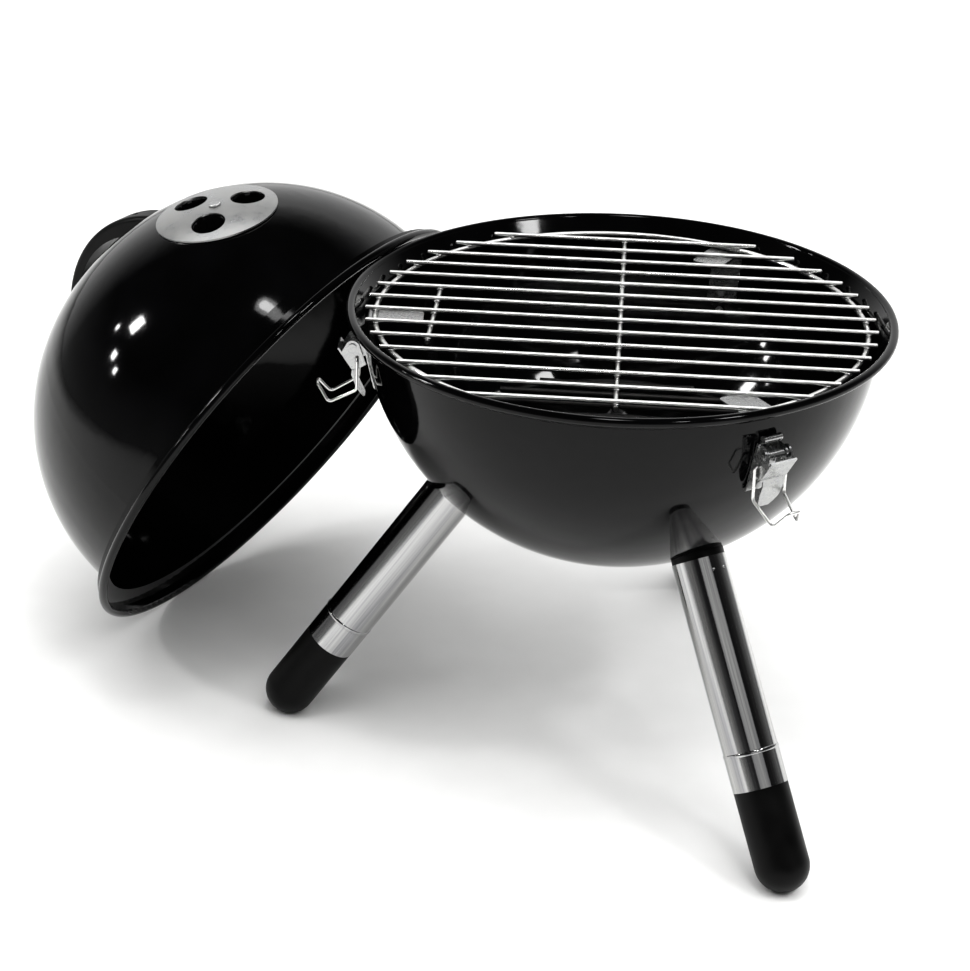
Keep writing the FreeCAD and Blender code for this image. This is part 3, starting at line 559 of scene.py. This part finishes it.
@dataclass
class WireGrate:
    """Round wire grate: parallel bars welded on a ring, with a bead at each crossing."""

    body: str
    bars: bpy.types.Object
    ring: bpy.types.Object
    wire: bpy.types.Material
    bead: bpy.types.Material
    slot: str
    cross: bpy.types.Object | None = None
    bead_half: tuple[float, float, float] = (2.6 * MM, 2.2 * MM, 1.1 * MM)
    around: int = 12
    rings: int = 7
    wire_gap: float = 2.0 * MM      # more than this apart, two vertices are on different wires

    def crossings(self) -> np.ndarray:
        """Places where the bars cross the ring and the cross wires.

        A bar at distance y from the middle crosses a ring of radius R at x = plus and minus the
        square root of R squared less y squared, and a cross wire at the wire's own x.

        Returns:
            One row of x, y, z for each crossing.
        """
        bar = corners(self.bars)
        y = np.array([bar[group, 1].mean() for group in clusters(bar[:, 1], self.wire_gap)])
        low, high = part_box(self.ring.name)
        radius = 0.5 * (high.x - low.x) - 0.5 * (high.z - low.z)
        level = 0.5 * (high.z + bar[:, 2].min())
        x = np.sqrt(np.maximum(radius ** 2 - y ** 2, 0.0))
        found = [np.column_stack([side * x, y, np.full_like(y, level)]) for side in (-1.0, 1.0)]
        if self.cross:
            found += self.cross_wire_crossings(y, level)
        return np.vstack(found)

    def cross_wire_crossings(self, y: np.ndarray, level: float) -> list[np.ndarray]:
        """Places where the bars lie on the cross wires.

        Args:
            y: Distances of the bars from the middle.
            level: Height of the welds.

        Returns:
            One array of x, y, z rows for each cross wire.
        """
        wire = corners(self.cross)
        found = []
        for group in clusters(wire[:, 0], self.wire_gap):
            part = wire[group]
            met = y[(y > part[:, 1].min()) & (y < part[:, 1].max())]
            middle = np.full_like(met, part[:, 0].mean())
            found.append(np.column_stack([middle, met, np.full_like(met, level)]))
        return found

    def bead_shape(self) -> tuple[np.ndarray, np.ndarray]:
        """One weld bead round the origin.

        A bead is an ellipsoid: x = a sin(v) cos(u), y = b sin(v) sin(u), z = c cos(v), where u runs
        round it and v runs from pole to pole.

        Returns:
            Its vertices, one row of x, y, z each, and its faces, four vertex numbers each.
        """
        v, u = np.meshgrid(np.linspace(0.0, math.pi, self.rings),
                           np.linspace(0, 2 * math.pi, self.around, endpoint=False), indexing="ij")
        a, b, c = self.bead_half
        shape = (a * np.sin(v) * np.cos(u), b * np.sin(v) * np.sin(u), c * np.cos(v))
        points = np.column_stack([part.ravel() for part in shape])
        row, col = np.meshgrid(np.arange(self.rings - 1), np.arange(self.around), indexing="ij")
        here = (row * self.around + col).ravel()
        side = (row * self.around + (col + 1) % self.around).ravel()
        return points, np.column_stack([here, here + self.around, side + self.around, side])

    def build(self) -> bpy.types.Object:
        """Dress the wires and add a weld bead at each crossing.

        Returns:
            The object with all the beads of this grate.
        """
        for piece in filter(None, (self.bars, self.ring, self.cross)):
            dress(piece, self.wire)
        one, quads = self.bead_shape()
        spots = self.crossings()
        points = (spots[:, None, :] + one[None, :, :]).reshape(-1, 3)
        faces = (np.arange(len(spots))[:, None, None] * len(one) + quads[None, :, :]).reshape(-1, 4)
        made = surface_object(self.body + "_weld_beads", points, faces, self.bead)
        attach(made, self.body)
        return made


@dataclass
class Lid:
    """Enamelled lid with its damper, rivet, handle and screws."""

    nodes: dict[str, bpy.types.Object]
    enamel: bpy.types.Material
    vent: bpy.types.Material
    plastic: bpy.types.Material
    fastener: bpy.types.Material

    def build(self) -> None:
        """Give the lid's pieces their finishes."""
        dress(self.nodes["lid_shell"], self.enamel)
        dress(self.nodes["lid_damper"], self.vent)
        dress(self.nodes["lid_rivet"], self.fastener)
        dress(self.nodes["lid_handle"], self.plastic)
        dress(self.nodes["handle_screws"], self.fastener)


# ---- studio -------------------------------------------------------------------------------
class LampShape(Enum):
    """Outline of an area light."""

    PANEL = "RECTANGLE"
    ROUND = "DISK"


@dataclass(frozen=True)
class Softbox:
    """Flat area light that stands in a direction from a spot on the grill."""

    name: str
    spot: tuple[float, float, float]
    towards: tuple[float, float, float]
    away: float
    wide: float
    high: float
    radiance: float
    in_gloss: bool = True
    shape: LampShape = LampShape.PANEL
    metal_only: bool = False

    def build(self, metal: bpy.types.Collection) -> bpy.types.Object:
        """Place the light, facing its spot.

        Power is radiance times pi times the light's area.

        Args:
            metal: The bare metal pieces, which alone receive a light that is for metal only.

        Returns:
            The light object.
        """
        data = bpy.data.lights.new(self.name, "AREA")
        data.shape = self.shape.value
        data.size, data.size_y = self.wide, self.high
        data.energy = self.radiance * math.pi * self.wide * self.high
        lamp = bpy.data.objects.new(self.name, data)
        bpy.context.scene.collection.objects.link(lamp)
        direction = Vector(self.towards).normalized()
        lamp.location = Vector(self.spot) + direction * self.away
        lamp.rotation_euler = direction.to_track_quat("Z", "Y").to_euler()
        lamp.visible_glossy = self.in_gloss
        if self.metal_only:
            lamp.light_linking.receiver_collection = metal
        return lamp


@dataclass
class Studio:
    """Pale floor, soft lights and camera."""

    rim_middle: Vector
    metal_pieces: list[bpy.types.Object]
    floor_half: float = 6.0
    floor_mottle: float = 60.0 * MM
    floor_colours: tuple[str, str] = ("#F2F2F1", "#F6F6F5")
    floor_roughness: float = 0.75
    floor_specular: float = 0.2
    room_colours: tuple[str, str] = ("#8E8E8E", "#2C2C2C")      # at the horizon and overhead
    room_overhead: float = 0.42     # height on the room's unit ball where it is fully dark
    wall_colour: str = "#F2F2F2"
    wall_fade: tuple[float, float] = (0.52, 0.80)       # height where the wall starts and ends fading
    wall_reach: tuple[float, float] = (0.45, 0.85)      # how far back it starts and is in full
    room_light: float = 1.0
    eye: tuple[float, float, float] = (0.0, -1.2916, 0.5195)
    pan: float = math.radians(-3.76)
    tilt: float = math.radians(26.75)
    roll: float = math.radians(1.51)
    lens: float = 79.66
    sensor: float = 36.0
    clip: tuple[float, float] = (0.05, 50.0)

    def floor(self) -> bpy.types.Object:
        """Plain pale floor that the grill stands on.

        Returns:
            The floor.
        """
        material, tree = new_material("studio_floor_matt_white")
        mottle = grain(tree, self.floor_mottle, EVEN, STILL)
        settings = {"Roughness": self.floor_roughness, "Specular IOR Level": self.floor_specular}
        shader = add(tree, "ShaderNodeBsdfPrincipled", settings,
                     {"Base Color": two_tone(tree, mottle, self.floor_colours, NOISE_SPAN)})
        close_material(tree, shader)
        h = self.floor_half
        points = np.array([[-h, -h, 0], [h, -h, 0], [h, h, 0], [-h, h, 0]], float)
        made = surface_object("studio_floor", points, np.array([[0, 1, 2, 3]]), material)
        return made

    def surroundings(self) -> None:
        """Dim room with a pale wall behind: dark overhead, grey all round near the horizon."""
        world = bpy.data.worlds.new("studio_room")
        bpy.context.scene.world = world
        world.use_nodes = True
        tree = world.node_tree
        tree.nodes.clear()
        place = add(tree, "ShaderNodeTexCoord")
        axes = add(tree, "ShaderNodeSeparateXYZ", links={"Vector": place.outputs["Generated"]})
        room = two_tone(tree, axes.outputs["Z"], self.room_colours, (0.0, self.room_overhead))
        fade = dict(zip(("From Min", "From Max", "To Min", "To Max"), (*self.wall_fade, 1.0, 0.0)))
        wall_top = add(tree, "ShaderNodeMapRange", fade, {"Value": axes.outputs["Z"]})
        reach = dict(zip(("From Min", "From Max"), self.wall_reach))
        wall_side = add(tree, "ShaderNodeMapRange", reach, {"Value": axes.outputs["Y"]})
        wall = add(tree, "ShaderNodeMath", {"operation": "MULTIPLY"},
                   {0: wall_top.outputs["Result"], 1: wall_side.outputs["Result"]})
        colour = add(tree, "ShaderNodeMix", {"data_type": "RGBA", MIX_SECOND: linear(self.wall_colour)},
                     {0: wall.outputs["Value"], MIX_FIRST: room})
        light = add(tree, "ShaderNodeBackground", {"Strength": self.room_light},
                    {"Color": colour.outputs[MIX_COLOUR]})
        add(tree, "ShaderNodeOutputWorld", links={"Surface": light.outputs[0]})

    def lights(self) -> None:
        """Small softboxes that show in the gloss, a wide fill that doesn't, and panels for the metal."""
        lid_side = (-0.320, 0.012, 0.278)
        lid_top = (-0.227, 0.015, 0.295)
        bowl_floor = (-0.052, 0.118, 0.208)
        above, foot = (0.0, 0.0, 0.3), (0.0, 0.0, 0.1)
        disc = LampShape.ROUND
        # name, spot, direction, distance, width, height, radiance
        boxes = (
            Softbox("window_tall", lid_side, (-0.806, -0.048, 0.589), 2.2, 0.20, 0.28, 55.0),
            Softbox("window_small_a", lid_side, (-0.885, 0.085, 0.459), 2.2, 0.07, 0.09, 50.0),
            Softbox("window_small_b", lid_side, (-0.925, -0.092, 0.368), 2.2, 0.11, 0.13, 50.0),
            Softbox("window_small_c", lid_side, (-0.929, -0.197, 0.313), 2.2, 0.09, 0.11, 50.0),
            Softbox("overhead_soft", lid_top, (0.075, -0.225, 0.964), 2.4, 0.24, 0.24, 15.0, shape=disc),
            Softbox("overhead_glow", lid_top, (0.075, -0.232, 0.964), 2.6, 0.44, 0.44, 5.5, shape=disc),
            Softbox("front_right", bowl_floor, (0.539, -0.394, 0.745), 2.2, 0.30, 0.20, 30.0),
            Softbox("front_right_low", bowl_floor, (0.359, -0.627, 0.692), 2.2, 0.14, 0.14, 30.0),
            Softbox("metal_overhead", above, (0.0, 0.25, 1.0), 1.6, 3.2, 1.6, 1.5, metal_only=True),
            Softbox("metal_front", foot, (0.35, -0.87, 0.45), 2.6, 2.0, 1.6, 0.42, metal_only=True),
            Softbox("wide_fill", (0.0, 0.0, 0.0), (0.15, -0.05, 1.0), 3.4, 6.5, 6.5, 2.0, in_gloss=False),
        )
        metal = bpy.data.collections.new("bare_metal")
        for piece in self.metal_pieces:
            metal.objects.link(piece)
        for box in boxes:
            box.build(metal)

    def camera(self) -> bpy.types.Object:
        """Camera that looks down on the grill from its front.

        Returns:
            The camera object.
        """
        data = bpy.data.cameras.new("view")
        data.lens, data.sensor_width = self.lens, self.sensor
        data.clip_start, data.clip_end = self.clip
        made = bpy.data.objects.new("view", data)
        bpy.context.scene.collection.objects.link(made)
        ahead = Vector((math.sin(self.pan) * math.cos(self.tilt), math.cos(self.pan) * math.cos(self.tilt),
                        -math.sin(self.tilt)))
        level = Vector((math.cos(self.pan), -math.sin(self.pan), 0.0))
        above = level.cross(ahead)
        right = level * math.cos(self.roll) + above * math.sin(self.roll)
        up = above * math.cos(self.roll) - level * math.sin(self.roll)
        axes = Matrix((right, up, -ahead)).transposed()
        made.matrix_world = Matrix.Translation(self.rim_middle + Vector(self.eye)) @ axes.to_4x4()
        bpy.context.scene.camera = made
        return made

    def build(self) -> None:
        """Set the floor, room, lights, camera and tone curve."""
        self.floor()
        self.surroundings()
        self.lights()
        self.camera()
        view = bpy.context.scene.view_settings
        view.view_transform = "Standard"
        view.look = "Medium High Contrast"


def main() -> None:
    """Build every sub-assembly in order and report it."""
    logging.basicConfig(level=logging.INFO, format="%(name)s: %(message)s")
    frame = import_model()
    nodes = frame["nodes"]
    enamel = VitreousEnamel().build()
    along_x = Vector((0.0, math.radians(-90.0), 0.0))
    # Stamped stainless disc, left satin: an even pale grey with hardly any lines.
    vent = DrawnSteel("stainless_disc_satin", "#A4A5A6", "#B3B3B1", Grade.SATIN, relief=0.02).build()
    # Nickel plated drawn wire: nearly white, with a soft gloss along each bar.
    wire = DrawnSteel("nickel_plated_wire_drawn", "#E2E2E0", "#F6F6F4", Grade.SATIN, stretch=40.0,
                      cloud=30 * MM, relief=0.015, turn=along_x).build()
    # Plain rolled wire: dark and dull, with mill scale's uneven tone.
    coal_wire = DrawnSteel("plain_steel_wire_rolled", "#3C3C3D", "#6A6968", Grade.DULL, stretch=20.0,
                           turn=along_x).build()
    # Resistance weld under the plating: a little darker than the wire, with no direction.
    bead = DrawnSteel("weld_bead_resistance", "#A5A5A4", "#D2D2D0", Grade.SATIN, stretch=1.0).build()
    # Zinc plated sheet and fasteners: pale crystals, finer and more uneven on the small parts.
    zinc = ZincPlate("zinc_plated_sheet").build()
    fastener = ZincPlate("zinc_plated_fastener", "#A9AAAC", "#CDCDCB", 1.0 * MM, (0.26, 0.40)).build()
    # Moulded heat resistant plastic: near black and satin, with a finer pebble on the handle.
    foot_plastic = MouldedPlastic("moulded_plastic_foot_black").build()
    handle_plastic = MouldedPlastic("moulded_plastic_handle_black", pebble=0.7 * MM).build()

    Bowl(nodes, enamel, zinc, fastener, vent).build()
    LOG.info("bowl dressed")
    spots = {mount["name"]: Vector(mount["pos_m"]) for mount in frame["record"]["mounts"]}
    legs = Legs(nodes, foot_plastic, fastener, {place: spots["foot_" + place] for place in STATIONS})
    legs.build()
    LOG.info("legs dressed, %d swage ridges", len(legs.ridges))
    Latches(nodes, zinc, wire).build()
    LOG.info("latches dressed")
    cooking = WireGrate("cooking_grate", nodes["grate_bars"], nodes["grate_ring"], wire, bead, "wire",
                        nodes["grate_cross_wires"])
    beads = cooking.build()
    LOG.info("cooking grate: %d vertices in its weld beads", len(beads.data.vertices))
    coal = WireGrate("charcoal_grate", nodes["charcoal_bars"], nodes["charcoal_ring"], coal_wire, bead,
                     "steel")
    LOG.info("charcoal grate: %d vertices in its weld beads", len(coal.build().data.vertices))
    Lid(nodes, enamel, vent, handle_plastic, fastener).build()
    LOG.info("lid dressed")

    low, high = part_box("bowl_shell")
    rim_middle = Vector((0.5 * (low.x + high.x), 0.5 * (low.y + high.y), high.z - RIM_BEAD_RADIUS))
    metal = [piece for name, piece in nodes.items() if name.startswith(BARE_METAL)] + [beads] + legs.ridges
    Studio(rim_middle, metal).build()
    LOG.info("studio set")


if __name__ == "__main__":
    main()
